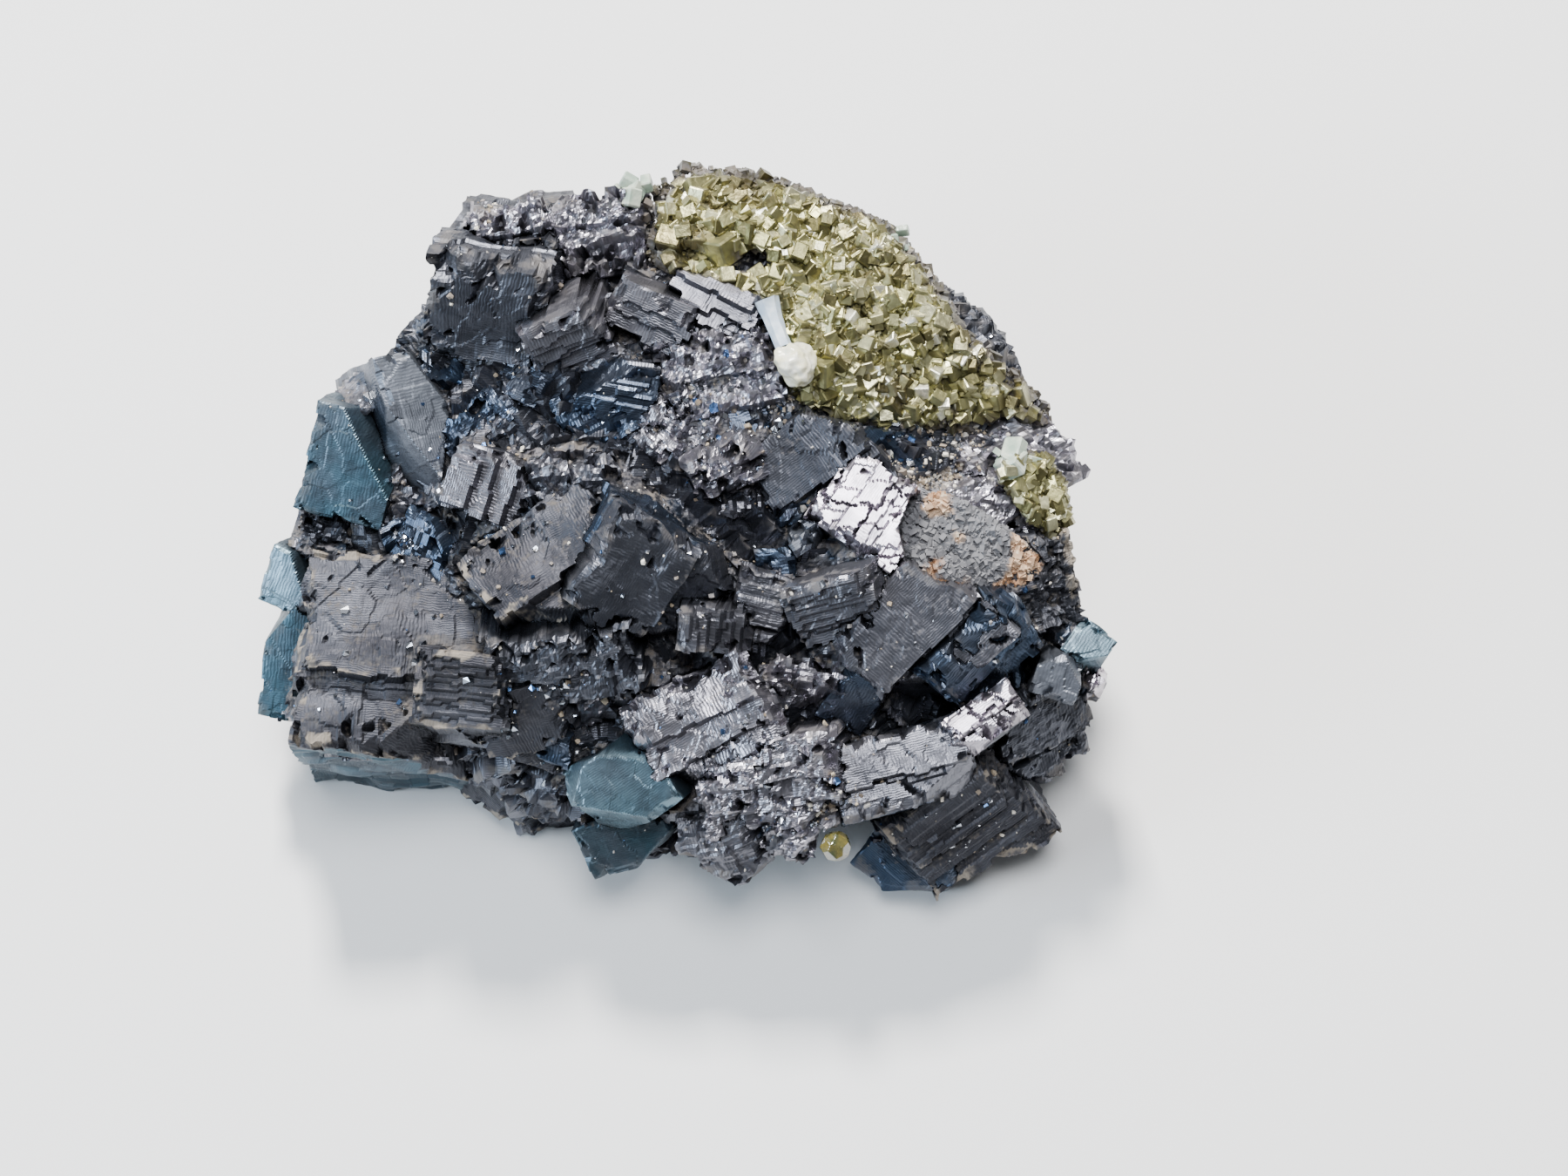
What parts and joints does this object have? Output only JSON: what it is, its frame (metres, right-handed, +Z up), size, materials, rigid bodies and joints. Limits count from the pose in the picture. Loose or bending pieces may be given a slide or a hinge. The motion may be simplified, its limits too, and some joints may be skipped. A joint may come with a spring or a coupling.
{
  "type": "galena with pyrite",
  "caption": "Hand specimen of intergrown, stepped galena blocks with a crust of small pyrite cubes, resting on its broken base.",
  "frame": {"origin": "centre of the bounding box, on the surface that the stone rests on", "axes": "+X along the longest side, +Y to the back, +Z up"},
  "size_m": [0.0498, 0.0408, 0.0245],
  "materials": {
    "galena": "dull to bright metallic, dusty in the hollows",
    "pyrite": "metallic, finely crystalline",
    "limonite": "matt, earthy",
    "quartz": "milky, glossy",
    "sphalerite": "resinous"
  },
  "bodies": {
    "root": {"galena": "galena", "pyrite_crust": "pyrite", "pyrite_side_patch": "pyrite", "limonite_patch": "limonite", "quartz_rod": "quartz", "sphalerite_bead": "sphalerite"}
  },
  "joints": []
}
